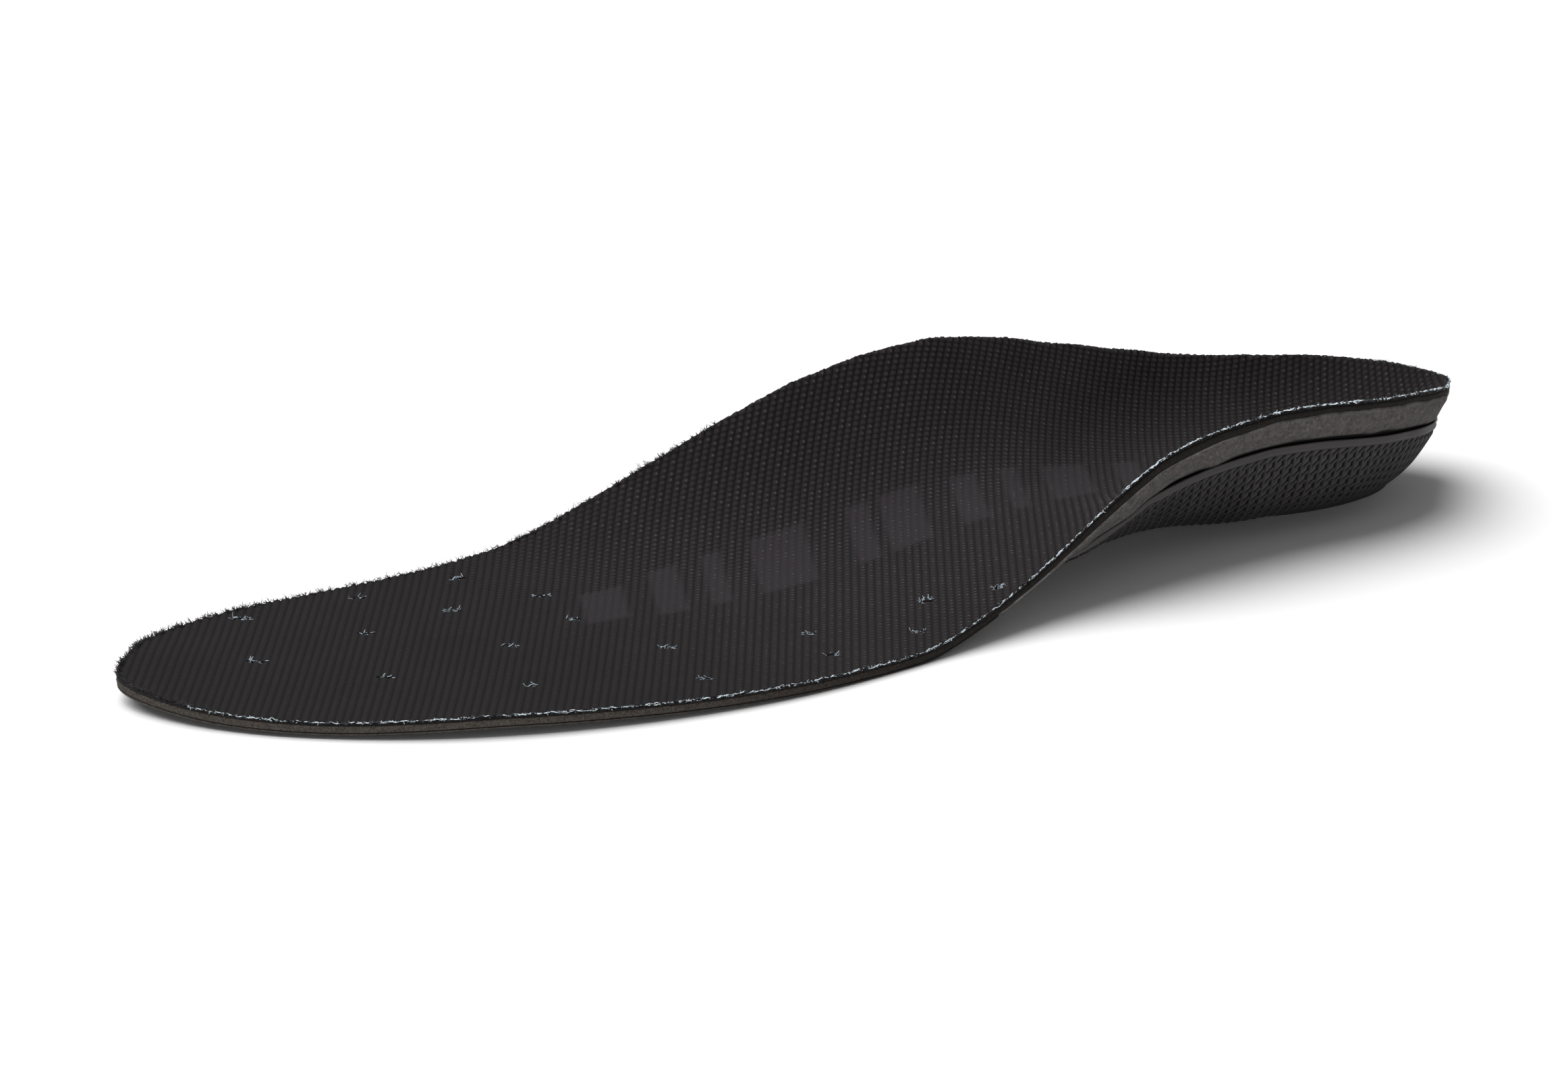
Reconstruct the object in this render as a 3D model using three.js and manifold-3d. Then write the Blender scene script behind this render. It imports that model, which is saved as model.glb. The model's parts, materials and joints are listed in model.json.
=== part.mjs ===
// A cushioned shoe insole for the left foot: a knitted top cover over a full-length foam sheet, with a
// foam support wedge, a moulded cup shell, a base ring and a crash pad under the heel and the arch.
// Millimetres. +X points to the toe, +Y to the outer side of the foot, +Z up. The heel is near x = 0
// while the pieces are made, and the whole group is moved at the end so that the origin lies on the
// floor under the middle of the insole.
import * as THREE from "three";
import { mergeVertices } from "three/addons/utils/BufferGeometryUtils.js";
import Module from "manifold-3d";

const wasm = await Module();
wasm.setup();

// The rim of the foot side: x, y and height, from the toe tip along the outer side to the heel back.
const OUTER_RIM = [
  [277.2, -13, 4.9],
  [269.8, 6.3, 3.4],
  [253.6, 23, 3.1],
  [231, 36.4, 3.9],
  [203, 44.9, 3.3],
  [175.4, 47.4, 2.6],
  [146.4, 44.1, 2.6],
  [118.4, 38, 11],
  [89.3, 34.3, 25.6],
  [60.3, 31.6, 29.2],
  [36, 30.7, 27.6],
  [15.7, 23.9, 25],
  [4.8, 12.8, 21.3],
  [-2.9, 2.4, 19.5],
];
// The same stations along the inner side of the foot, with the high arch, between those two ends.
const INNER_RIM = [
  [269.8, -25.2, 5.1],
  [257.3, -36.1, 3.7],
  [237.5, -42.2, 3],
  [212.5, -44, 2.6],
  [185.1, -41.9, 5.5],
  [157.1, -37.8, 17],
  [125.7, -35.4, 29.1],
  [94.4, -33.9, 33.6],
  [59.2, -33.7, 26.9],
  [34.1, -31.6, 21.6],
  [12.5, -24.1, 20],
  [0.8, -11.3, 19.8],
];

// Heights along the centre line, as x and value. The foot side first, then the underside.
const FOOT_SIDE = [
  [45, 9.4], [75, 10.4], [98, 10.8], [115, 9.1], [132, 5.9], [150, 3.5], [170, 2.6], [190, 2.4],
];
const UNDERSIDE = [
  [58, 3], [74, 4.9], [88, 5.5], [100, 5.8], [112, 5], [126, 1.6], [140, 0.3], [150, 0],
];
// How late the sides curl up: a high number keeps the middle flat and makes the wall steep.
const OUTER_CURL = [[30, 2.8], [60, 2.6], [85, 2.4], [105, 2.8], [150, 3], [200, 2.4]];
const INNER_CURL = [[40, 3], [95, 2.1], [160, 2.1], [200, 2.4]];
const OUTER_HULL_CURL = [[5, 4], [30, 5], [60, 4.7], [85, 4.2], [110, 6.8], [150, 4]];
const INNER_HULL_CURL = [[50, 5.2], [95, 3.6], [150, 3]];

// Thicknesses and gaps, all measured straight down.
const COVER = 0.6;
const GLUE_GAP = 0.15;
const FOAM_BOTTOM = [[60, 3.2], [125, 1.95]];
const FOAM_BOTTOM_AT_RIM = [[50, 1.6], [85, 2.2], [105, 2.2], [124, 1.85], [150, 1.95]];
const FOREFOOT_STACK = 2.4;
const WEDGE_EDGE = 0.5;
const WEDGE_INSET = 0.5;
const WEDGE_SKIVE = 36;
const SHELL_INSIDE = 1.2;
const SHELL_PROUD = 0.4;
const STEEPEST = 2.4;
const ROOM_OVER_SHELL = 1.3;
const THINNEST = 0.3;
const LIP_BELOW_RIM = [[0, 6.6], [30, 7.7], [60, 7.5], [95, 8.2], [114, 6.7], [135, 6.6]];

// The centre line runs between these two points, where the round heel and the round toe are centred.
const HEEL_CENTRE = 30;
const TOE_CENTRE = 236;
const STATIONS = 26;
const RINGS = [0, 0.3, 0.5, 0.65, 0.78, 0.89, 1];

// Front edges of the wedge and of the shell, from the outer side to the inner side.
const WEDGE_FRONT = [[127, 60], [130, 34], [146, 8], [163, -22], [172, -60]];
const SHELL_FRONT = [[113, 60], [113, 34], [105, 12], [112, -12], [136, -36], [142, -60]];

// The line across the ball of the foot where the insole bends, with the cut that stands for it.
const FLEX_POINT = [188, 0];
const FLEX_SLANT = 14.5;
const FLEX_CUT = 0.5;

// The crash pad and the ring around it: middle, half length and half width.
const PAD_CENTRE = [32, -1.7];
const PAD_HALF = [17.8, 8.2];
const RING_HALF = [23.4, 12.5];
const RING_DISC = 8;
const FIT_GAP = 0.3;
const PAD_RECESS = 0.4;

const TALL = 60;
const FAR = 400;
const HALF_WIDTH = 60;
const EDGE_STEPS = 20;

// Smooth interpolation in a short list of [position, value] pairs, level beyond both ends.
function along(list, position) {
  const last = list.length - 1;
  if (position <= list[0][0]) return list[0][1];
  if (position >= list[last][0]) return list[last][1];
  const k = list.findIndex((pair, n) => n < last && position < list[n + 1][0]);
  const slope = (n) => {
    if (n <= 0 || n >= last) return 0;
    const before = (list[n][1] - list[n - 1][1]) / (list[n][0] - list[n - 1][0]);
    const after = (list[n + 1][1] - list[n][1]) / (list[n + 1][0] - list[n][0]);
    return before * after <= 0 ? 0 : (2 * before * after) / (before + after);
  };
  const width = list[k + 1][0] - list[k][0];
  const t = (position - list[k][0]) / width;
  const start = (1 + 2 * t) * (1 - t) ** 2 * list[k][1] + t * (1 - t) ** 2 * width * slope(k);
  const end = t * t * (3 - 2 * t) * list[k + 1][1] + t * t * (t - 1) * width * slope(k + 1);
  return start + end;
}

// The closed rim curve, and for each of its stations the point of the centre line that it belongs to.
const rimPoints = [...OUTER_RIM, ...INNER_RIM.slice().reverse()].map((p) => new THREE.Vector3(...p));
const rimCurve = new THREE.CatmullRomCurve3(rimPoints, true, "centripetal");

function station(index) {
  const t = index / (2 * STATIONS);
  const rim = rimCurve.getPoint(t % 1);
  rim.z = Math.max(rim.z, FOREFOOT_STACK);
  const mate = rimCurve.getPoint((1 - t) % 1);
  const middle = (rim.x + mate.x) / 2;
  const inside = THREE.MathUtils.clamp(middle, HEEL_CENTRE, TOE_CENTRE);
  const side = middle > TOE_CENTRE ? -4 : middle < HEEL_CENTRE ? 0 : (rim.y + mate.y) / 2;
  const toEnd = THREE.MathUtils.smoothstep(middle, TOE_CENTRE - 30, TOE_CENTRE);
  const toHeel = THREE.MathUtils.smoothstep(middle, HEEL_CENTRE, HEEL_CENTRE + 20);
  return {
    rim,
    centre: new THREE.Vector2(inside, THREE.MathUtils.lerp(side, -4, toEnd) * toHeel),
  };
}
const stations = Array.from({ length: 2 * STATIONS }, (_, index) => station(index));

// A place on the insole: a station and how far out it lies, from 0 on the centre line to 1 at the rim.
function place(st, out) {
  const x = THREE.MathUtils.lerp(st.centre.x, st.rim.x, out);
  const y = THREE.MathUtils.lerp(st.centre.y, st.rim.y, out);
  return { st, out, x, y, reach: Math.hypot(st.rim.x - st.centre.x, st.rim.y - st.centre.y) };
}

// The share of the outer side's curl at a station: 1 on the outer side, 0 on the inner side.
function outerShare(st) {
  return THREE.MathUtils.smoothstep(st.rim.y - st.centre.y, -18, 18);
}

function curl(st, outerList, innerList) {
  const share = outerShare(st);
  return share * along(outerList, st.rim.x) + (1 - share) * along(innerList, st.rim.x);
}

function footSide(p) {
  const middle = along(FOOT_SIDE, p.st.centre.x);
  return middle + (p.st.rim.z - middle) * p.out ** curl(p.st, OUTER_CURL, INNER_CURL);
}

function foamBottom(p) {
  const middle = along(FOAM_BOTTOM, p.x);
  const edge = along(FOAM_BOTTOM_AT_RIM, p.st.rim.x);
  return footSide(p) - THREE.MathUtils.lerp(middle, edge, p.out ** 4);
}

// The x of a front edge at a given y.
function frontAt(front, y) {
  return along(front.map(([x, side]) => [-side, x]), -y);
}

// The outside of the wedge and the shell. It thins out to the foam towards the wedge's front edge.
function hull(p) {
  const top = foamBottom(p) - GLUE_GAP;
  const low = along(UNDERSIDE, p.st.centre.x);
  const high = p.st.rim.z - along(FOAM_BOTTOM_AT_RIM, p.st.rim.x) - GLUE_GAP - WEDGE_EDGE;
  const shape = low + (high - low) * p.out ** curl(p.st, OUTER_HULL_CURL, INNER_HULL_CURL);
  const behind = frontAt(WEDGE_FRONT, p.y) - p.x;
  const full = THREE.MathUtils.smoothstep(behind, 0, WEDGE_SKIVE);
  return top - WEDGE_EDGE - full * Math.max(0, top - WEDGE_EDGE - shape);
}

// How much longer a straight-down measure is than one square to the hull at this place.
function steepness(p) {
  const step = 0.02;
  const nearer = { ...p, ...place(p.st, Math.max(0, p.out - step)) };
  const rise = (hull(p) - hull(nearer)) / (p.reach * step);
  return Math.min(STEEPEST, Math.hypot(1, rise));
}

// The outside and the inside of the shell, which stands a little proud of the wedge's side.
function shellOutside(p) {
  return hull(p) - SHELL_PROUD * steepness(p);
}

function shellInside(p) {
  const wanted = Math.min(hull(p) + SHELL_INSIDE * steepness(p), foamBottom(p) - ROOM_OVER_SHELL);
  return Math.max(wanted, shellOutside(p) + THINNEST);
}

// How far out the shell's lip lies at a station.
function lipOut(st) {
  const target = st.rim.z - along(LIP_BELOW_RIM, st.rim.x);
  let inner = 0.3;
  let outer = 1;
  for (let turn = 0; turn < 24; turn += 1) {
    const middle = (inner + outer) / 2;
    if (hull(place(st, middle)) > target) outer = middle;
    else inner = middle;
  }
  return THREE.MathUtils.clamp(inner, 0.7, 0.97);
}

// Triangles as a manifold solid, with shared vertices merged and collapsed triangles dropped.
function solidFrom(geometry) {
  const bare = geometry.index ? geometry.toNonIndexed() : geometry.clone();
  bare.deleteAttribute("normal");
  bare.deleteAttribute("uv");
  const merged = mergeVertices(bare, 1e-4);
  const kept = [];
  for (let n = 0; n < merged.index.count; n += 3) {
    const corners = [0, 1, 2].map((k) => merged.index.getX(n + k));
    if (new Set(corners).size === 3) kept.push(...corners);
  }
  return new wasm.Manifold(
    new wasm.Mesh({
      numProp: 3,
      vertProperties: new Float32Array(merged.attributes.position.array),
      triVerts: new Uint32Array(kept),
    }),
  );
}

// A closed solid through loops of points that run out over the top and back in under it. The first and
// the last loop lie on the centre line. Top and underside split their quads along the same diagonals,
// so that layers which follow each other keep their distance.
function solidThrough(loops) {
  const count = loops[0].length;
  const corners = [];
  for (let ring = 0; ring + 1 < loops.length; ring += 1) {
    for (let n = 0; n < count; n += 1) {
      const next = (n + 1) % count;
      const a = loops[ring][n];
      const b = loops[ring][next];
      const c = loops[ring + 1][next];
      const d = loops[ring + 1][n];
      if (ring + 1 < RINGS.length) corners.push(a, d, b, b, d, c);
      else corners.push(a, d, c, a, c, b);
    }
  }
  return solidFrom(new THREE.BufferGeometry().setFromPoints(corners));
}

function loopAt(outOf, heightOf) {
  return stations.map((st) => {
    const p = place(st, outOf(st));
    return new THREE.Vector3(p.x, p.y, heightOf(p));
  });
}

// A layer between two heights, from the centre line out to a share of the way to the rim.
function layer(upper, lower, reachOf = () => 1) {
  const up = RINGS.map((ring) => loopAt((st) => ring * reachOf(st), upper));
  const down = RINGS.map((ring) => loopAt((st) => ring * reachOf(st), lower)).reverse();
  return solidThrough([...up, ...down]);
}

// A prism with the given outline, as tall as the whole insole and more.
function prism(outline) {
  const shape = new THREE.Shape(outline.map(([x, y]) => new THREE.Vector2(x, y)));
  const geometry = new THREE.ExtrudeGeometry(shape, { depth: 2 * TALL, bevelEnabled: false });
  return solidFrom(geometry.translate(0, 0, -TALL));
}

// Everything behind a front edge that is moved forward by a margin.
function behindFront(front, margin) {
  const sides = Array.from({ length: 2 * EDGE_STEPS + 1 }, (_, n) => n / EDGE_STEPS - 1);
  const edge = sides.map((side) => [frontAt(front, side * HALF_WIDTH) + margin, side * HALF_WIDTH]);
  return prism([[-FAR, HALF_WIDTH], [-FAR, -HALF_WIDTH], ...edge]);
}

// Everything in front of the flex line, moved back by a margin.
function aheadOfFlex(margin) {
  const angle = THREE.MathUtils.degToRad(FLEX_SLANT);
  const box = new THREE.BoxGeometry(FAR, FAR, 2 * TALL).translate(FAR / 2 - margin, 0, 0);
  box.rotateZ(angle).translate(FLEX_POINT[0], FLEX_POINT[1], 0);
  return solidFrom(box);
}

function ellipse(half, grow, low, high) {
  const shape = new THREE.Shape();
  shape.absellipse(PAD_CENTRE[0], PAD_CENTRE[1], half[0] + grow, half[1] + grow, 0, 2 * Math.PI);
  const settings = { depth: high - low, bevelEnabled: false, curveSegments: 18 };
  return solidFrom(new THREE.ExtrudeGeometry(shape, settings).translate(0, 0, low));
}

function splitAtFlex(solid) {
  return {
    front: solid.intersect(aheadOfFlex(-FLEX_CUT / 2)),
    rear: solid.subtract(aheadOfFlex(FLEX_CUT / 2)),
  };
}

function topCover() {
  return splitAtFlex(layer(footSide, (p) => footSide(p) - COVER));
}

function comfortFoam() {
  return splitAtFlex(layer((p) => footSide(p) - COVER - GLUE_GAP, foamBottom));
}

function forefootFilm() {
  const whole = layer((p) => foamBottom(p) - GLUE_GAP, (p) => footSide(p) - FOREFOOT_STACK);
  return splitAtFlex(whole.subtract(behindFront(WEDGE_FRONT, FIT_GAP)));
}

// The wedge follows the foam above and shows as a band around the side. The shell sits in a pocket of
// it, so that the wedge steps in above the shell's lip.
function supportWedge() {
  const lipEdge = (st) => lipOut(st) + FIT_GAP / place(st, 1).reach;
  const over = (p) => shellInside(p) + FIT_GAP * steepness(p);
  const under = (p) => shellOutside(p) - FIT_GAP * steepness(p);
  const shellPocket = layer(over, under, lipEdge).intersect(behindFront(SHELL_FRONT, FIT_GAP));
  const padPocket = ellipse(PAD_HALF, FIT_GAP, -TALL, TALL);
  const reach = (st) => 1 - WEDGE_INSET / place(st, 1).reach;
  const whole = layer((p) => foamBottom(p) - GLUE_GAP, hull, reach);
  return whole.intersect(behindFront(WEDGE_FRONT, 0)).subtract(shellPocket).subtract(padPocket);
}

function cupShell() {
  const whole = layer(shellInside, shellOutside, lipOut);
  const pocket = ellipse(PAD_HALF, FIT_GAP, -TALL, TALL);
  return whole.intersect(behindFront(SHELL_FRONT, 0)).subtract(pocket);
}

function baseRing() {
  const disc = ellipse(RING_HALF, 0, 0, RING_DISC).subtract(ellipse(PAD_HALF, FIT_GAP, -TALL, TALL));
  return disc.subtract(layer(() => TALL, (p) => shellOutside(p) - GLUE_GAP));
}

function crashPad() {
  const top = layer((p) => foamBottom(p) - GLUE_GAP, () => PAD_RECESS, () => 0.95);
  return top.intersect(ellipse(PAD_HALF, 0, -TALL, TALL));
}

function finish(color, roughness) {
  return new THREE.MeshStandardMaterial({ color, roughness, metalness: 0 });
}

function named(name, solid, material) {
  const mesh = solid.getMesh();
  const geometry = new THREE.BufferGeometry();
  geometry.setAttribute("position", new THREE.BufferAttribute(new Float32Array(mesh.vertProperties), 3));
  geometry.setIndex(new THREE.BufferAttribute(new Uint32Array(mesh.triVerts), 1));
  geometry.computeVertexNormals();
  const made = new THREE.Mesh(geometry, material);
  made.name = name;
  return made;
}

const knit = finish(0x2a2628, 0.95);
const foamFinish = finish(0x1a1716, 0.9);
const filmFinish = finish(0x14151a, 0.5);
const evaFinish = finish(0x454142, 0.85);
const shellFinish = finish(0x2a2829, 0.55);
const ringFinish = finish(0x232122, 0.5);
const padFinish = finish(0xb4431f, 0.7);

const cover = topCover();
const foam = comfortFoam();
const film = forefootFilm();

const insole = new THREE.Group();
insole.add(
  named("top_cover_rear", cover.rear, knit),
  named("top_cover_front", cover.front, knit),
  named("comfort_foam_rear", foam.rear, foamFinish),
  named("comfort_foam_front", foam.front, foamFinish),
  named("forefoot_film_rear", film.rear, filmFinish),
  named("forefoot_film_front", film.front, filmFinish),
  named("support_wedge", supportWedge(), evaFinish),
  named("cup_shell", cupShell(), shellFinish),
  named("heel_base_ring", baseRing(), ringFinish),
  named("heel_crash_pad", crashPad(), padFinish),
);

const bounds = new THREE.Box3().setFromObject(insole, true);
const middle = bounds.getCenter(new THREE.Vector3());
insole.position.set(-middle.x, -middle.y, -bounds.min.z);

export default insole;
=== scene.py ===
"""A cushioned shoe insole for the left foot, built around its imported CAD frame.

Lengths are in millimetres until a mesh is made, and then in metres. +X points to the toe, +Y to the
outer side of the foot, +Z up. Every surface is read from the frame: a smooth field goes through the
corners of the CAD solid's faces, and finer meshes than the solid's follow that field.
"""

import json
import math

import bpy
import numpy as np
from mathutils import Matrix, Vector
from mathutils.bvhtree import BVHTree


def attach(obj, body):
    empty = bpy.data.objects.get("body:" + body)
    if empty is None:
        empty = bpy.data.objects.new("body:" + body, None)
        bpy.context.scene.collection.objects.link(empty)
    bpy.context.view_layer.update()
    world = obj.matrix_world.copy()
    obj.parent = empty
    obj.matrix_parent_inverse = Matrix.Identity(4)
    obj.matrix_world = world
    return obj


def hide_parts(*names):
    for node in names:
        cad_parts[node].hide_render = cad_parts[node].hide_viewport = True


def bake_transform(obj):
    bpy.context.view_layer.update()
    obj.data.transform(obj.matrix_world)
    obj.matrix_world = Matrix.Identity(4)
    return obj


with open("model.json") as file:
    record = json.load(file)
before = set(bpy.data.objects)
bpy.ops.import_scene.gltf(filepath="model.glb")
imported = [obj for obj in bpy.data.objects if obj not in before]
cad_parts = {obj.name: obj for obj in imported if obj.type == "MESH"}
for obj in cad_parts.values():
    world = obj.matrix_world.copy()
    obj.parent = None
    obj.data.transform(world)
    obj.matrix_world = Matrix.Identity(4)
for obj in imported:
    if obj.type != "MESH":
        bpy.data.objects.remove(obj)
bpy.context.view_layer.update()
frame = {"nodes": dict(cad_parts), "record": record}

MM = 0.001
rng = np.random.default_rng(7)

# ------ sizes, in millimetres

COVER = 0.6
GLUE_GAP = 0.15
FILM = 0.3

# The knit: its ribs lean by an angle from the length of the foot, and both pitches have mesh steps.
RIB_PITCH = 1.44
ROW_PITCH = 1.23
RIB_ANGLE = math.radians(56.8)
RIB_HEIGHT = 0.3
RIB_STEPS = 4
ROW_STEPS = 2

# The centre line's ends, from the heel's and the toe's tip, and how far to the side they lie.
HEEL_ROUND = 32.9
HEEL_SIDE = -1.7
TOE_ROUND = 41.2
TOE_SIDE = -5.7

# The rim has this many corners in the CAD solid, and this many mesh steps for each of them here.
STATIONS = 52
FINE = 10

# How near the hinge's cut, on both sides of it, no rim corner is read.
CUT_REACH = 0.3

# A place along the foot that lies in the wedge, a little behind its front edge.
INSIDE_WEDGE = -20.0


# ------ reading the frame

# A face whose unit normal rises or falls by less than this belongs to a side wall.
LEVEL = 0.12


def triangles_of(*nodes):
    """The nodes' triangles as an array of corner places in millimetres, and their unit normals."""
    found = []
    for node in nodes:
        mesh = frame["nodes"][node].data
        mesh.calc_loop_triangles()
        places = np.empty(3 * len(mesh.vertices))
        mesh.vertices.foreach_get("co", places)
        corners = np.empty(3 * len(mesh.loop_triangles), dtype=np.int32)
        mesh.loop_triangles.foreach_get("vertices", corners)
        found.append((places.reshape(-1, 3) / MM)[corners.reshape(-1, 3)])
    found = np.vstack(found)
    normals = np.cross(found[:, 1] - found[:, 0], found[:, 2] - found[:, 0])
    size = np.linalg.norm(normals, axis=1)
    good = size > 1e-6
    return found[good], normals[good] / size[good, None]


def faces_of(nodes, facing):
    """Those of the nodes' triangles that face up (1) or down (-1), and their unit normals."""
    corners, normals = triangles_of(*nodes)
    kept = facing * normals[:, 2] > LEVEL
    return corners[kept], normals[kept]


def box_of(node):
    """The middle and the half size of a node, in millimetres."""
    corners = triangles_of(node)[0].reshape(-1, 3)
    low, high = corners.min(axis=0), corners.max(axis=0)
    return (low + high) / 2, (high - low) / 2


def unit(vectors):
    """The vectors in the rows of an array, each made one long."""
    return vectors / (np.linalg.norm(vectors, axis=-1, keepdims=True) + 1e-9)


def apart(points, step=0.05):
    """The points with at most one in each small square of the plan."""
    keys = np.round(points[:, :2] / step).astype(int)
    first = np.unique(keys, axis=0, return_index=True)[1]
    return points[np.sort(first)]


class Field:
    """A smooth height over the plan through given points: a thin-plate spline."""

    scale = 100.0

    def __init__(self, points, give=1e-7):
        self.at = apart(points)[:, :2] / self.scale
        heights = apart(points)[:, 2]
        count = len(self.at)
        bend = self.kernel(self.at) + give * np.eye(count)
        flat = np.column_stack([np.ones(count), self.at])
        top = np.hstack([bend, flat])
        low = np.hstack([flat.T, np.zeros((3, 3))])
        self.weights = np.linalg.solve(np.vstack([top, low]), np.append(heights, np.zeros(3)))

    def kernel(self, places):
        gap = places[:, None, :] - self.at[None, :, :]
        square = (gap**2).sum(axis=2)
        return 0.5 * square * np.log(square + 1e-12)

    def __call__(self, x, y):
        x, y = np.broadcast_arrays(np.asarray(x, float), np.asarray(y, float))
        places = np.column_stack([x.ravel(), y.ravel()]) / self.scale
        parts = []
        for part in np.array_split(places, 1 + len(places) // 20000):
            flat = np.column_stack([np.ones(len(part)), part])
            parts.append(np.hstack([self.kernel(part), flat]) @ self.weights)
        return np.concatenate(parts).reshape(x.shape)

    def normal(self, x, y, step=0.2):
        here = self(x, y)
        slope_x = (self(x + step, y) - here) / step
        slope_y = (self(x, y + step) - here) / step
        return unit(np.stack([-slope_x, -slope_y, np.ones_like(here)], axis=-1))


class Loop:
    """A closed cubic spline through the rows of an array; its parameter counts the rows."""

    def __init__(self, values):
        self.values = np.asarray(values, float)
        count = len(self.values)
        eye = np.eye(count)
        ring = 4 * eye + np.roll(eye, 1, axis=1) + np.roll(eye, -1, axis=1)
        ends = np.roll(self.values, -1, axis=0) - np.roll(self.values, 1, axis=0)
        self.slopes = np.linalg.solve(ring, 3 * ends)

    def __call__(self, t):
        t = np.asarray(t, float) % len(self.values)
        k = np.floor(t).astype(int) % len(self.values)
        n = (k + 1) % len(self.values)
        f = (t - np.floor(t))[..., None]
        start = (1 + 2 * f) * (1 - f) ** 2 * self.values[k] + f * (1 - f) ** 2 * self.slopes[k]
        return start + f * f * (3 - 2 * f) * self.values[n] + f * f * (f - 1) * self.slopes[n]


joint = frame["record"]["behaviour"]["joints"][0]
flex_point = np.array(joint["pos_m"]) / MM
flex_along = np.array(joint["axis"])
flex_ahead = np.array([-flex_along[1], flex_along[0], 0.0])


COVER_NODES = ("top_cover_rear", "top_cover_front")
FOAM_NODES = ("comfort_foam_rear", "comfort_foam_front")


def rim_stations():
    """The corners of the cover's upper rim, in order from the toe tip along the outer side."""
    corners, normals = triangles_of(*COVER_NODES)
    points = corners[np.abs(normals[:, 2]) < 0.05].reshape(-1, 3)
    ahead = (points - flex_point) @ flex_ahead
    points = points[np.abs(ahead) > CUT_REACH]
    points = apart(points[np.argsort(-points[:, 2], kind="stable")], 0.02)
    middle = (points.min(axis=0) + points.max(axis=0)) / 2
    turn = np.arctan2(points[:, 1] - middle[1], points[:, 0] - middle[0])
    points = points[np.argsort(turn)]
    return np.roll(points, -int(np.argmax(points[:, 0])), axis=0)


stations = rim_stations()
if len(stations) != STATIONS:
    raise RuntimeError(f"the rim has {len(stations)} corners instead of {STATIONS}")
rim = Loop(stations)
low_x = stations[:, 0].min()
high_x = stations[:, 0].max()

top = Field(faces_of(COVER_NODES, 1)[0].reshape(-1, 3))
foam_low = Field(faces_of(FOAM_NODES, -1)[0].reshape(-1, 3))


def tree_of(*nodes):
    """A search tree over the triangles of these nodes, for rays."""
    corners = triangles_of(*nodes)[0].reshape(-1, 3)
    faces = np.arange(len(corners)).reshape(-1, 3)
    return BVHTree.FromPolygons(corners.tolist(), faces.tolist())


def meets(tree, x, y):
    """Whether a plumb line through this place of the plan meets the solid."""
    return tree.ray_cast(Vector((x, y, -100.0)), Vector((0.0, 0.0, 1.0)))[0] is not None


# ------ outlines in the plan


def smooth_step(a, b, x):
    t = np.clip((np.asarray(x, float) - a) / (b - a), 0, 1)
    return t * t * (3 - 2 * t)


def centre_of(rim_points, mates):
    """The centre-line point that each place of the rim belongs to, as in the CAD solid."""
    middle = (rim_points[:, 0] + mates[:, 0]) / 2
    heel = low_x + HEEL_ROUND
    toe = high_x - TOE_ROUND
    side = (rim_points[:, 1] + mates[:, 1]) / 2
    to_toe = smooth_step(toe - 30, toe, middle)
    to_heel = smooth_step(heel, heel + 20, middle)
    y = HEEL_SIDE + (side + (TOE_SIDE - side) * to_toe - HEEL_SIDE) * to_heel
    return np.column_stack([np.clip(middle, heel, toe), y])


spoke_ends = stations[:, :2]
spoke_starts = centre_of(stations, np.roll(stations[::-1], 1, axis=0))


def on_spoke(points):
    """Whether a place of the plan lies on a straight line from the centre line to a rim corner."""
    run = spoke_ends - spoke_starts
    gap = points[:, None, :2] - spoke_starts[None, :, :]
    share = np.clip((gap * run).sum(axis=2) / (run**2).sum(axis=1), 0, 1)
    away = np.linalg.norm(gap - share[..., None] * run, axis=2)
    return away.min(axis=1) < 0.12


def smooth_field(corners, normals):
    """The field through these faces without the corners that lie on chords of steep walls.

    A corner with another one within a millimetre of it in the plan, but clearly lower, is left out too.
    """
    points = corners.reshape(-1, 3)
    gentle = np.repeat(np.abs(normals[:, 2]) > 0.6, 3)
    points = points[gentle | on_spoke(points)]
    gap = np.linalg.norm(points[:, None, :2] - points[None, :, :2], axis=2)
    lower = points[None, :, 2] < points[:, None, 2] - 0.8
    return Field(points[~((gap < 1.0) & lower).any(axis=1)], 1e-5)


shell_low = smooth_field(*faces_of(["cup_shell"], -1))
shell_high = smooth_field(*faces_of(["cup_shell"], 1))

turns = np.arange(STATIONS * FINE) / FINE
rim_line = rim(turns)
spine_line = centre_of(rim_line, rim(-turns))
outer_half = rim(np.linspace(0, STATIONS / 2, 1500))
inner_half = rim(np.linspace(STATIONS / 2, STATIONS, 1500))


def side_at(half, x):
    order = np.argsort(half[:, 0])
    return np.interp(x, half[order, 0], half[order, 1])


def inside_rim(x, y):
    return (y < side_at(outer_half, x)) & (y > side_at(inner_half, x)) & (x > low_x) & (x < high_x)


def furthest(tree, start, towards):
    """How far from start the solid reaches in this direction of the plan, holes aside."""
    start, towards = np.array(start), np.array(towards)
    near = 0
    for reach in range(160, 0, -1):
        if meets(tree, *(start + reach * towards)):
            near = reach
            break
    for halving in range(1, 9):
        more = near + 0.5**halving
        if meets(tree, *(start + more * towards)):
            near = more
    return near


def running(line):
    """The length along an open line up to each of its points."""
    return np.append(0, np.cumsum(np.linalg.norm(np.diff(line, axis=0), axis=1)))


def evenly(points, count, closed=True):
    """A line of points with even steps; a closed one doesn't repeat its first point."""
    line = np.vstack([points, points[:1]]) if closed else points
    run = running(line)
    at = np.linspace(0, run[-1], count, endpoint=not closed)
    return np.column_stack([np.interp(at, run, column) for column in line.T])


def softened(points, passes):
    """A closed line with its corners rounded a little."""
    for _ in range(passes):
        points = (np.roll(points, 1, axis=0) + 2 * points + np.roll(points, -1, axis=0)) / 4
    return points


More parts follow.
